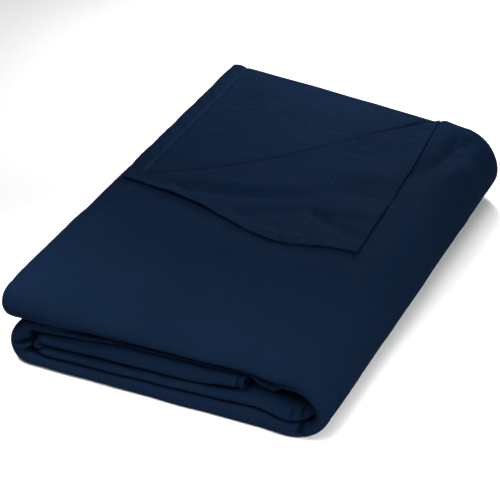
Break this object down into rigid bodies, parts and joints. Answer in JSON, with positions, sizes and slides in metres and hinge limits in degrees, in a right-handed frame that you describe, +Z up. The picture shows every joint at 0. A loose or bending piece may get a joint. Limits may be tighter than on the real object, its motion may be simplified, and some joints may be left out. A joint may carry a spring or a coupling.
{
  "type": "folded flat sheet",
  "caption": "Flat bed sheet of plain navy cloth, folded into a parcel with a closed front nose and its far left corner turned back to show the hems.",
  "frame": {"origin": "middle of the parcel's box, on the surface it rests on", "axes": "+Z up, +Y from the closed front nose to the hemmed far edge, +X from the open left edge to the big round fold"},
  "size_m": [0.2656, 0.4008, 0.0682],
  "materials": {
    "cloth": "plain woven, soft, slightly lustrous"
  },
  "bodies": {
    "root": {"folded_sheet": "cloth"}
  },
  "joints": []
}
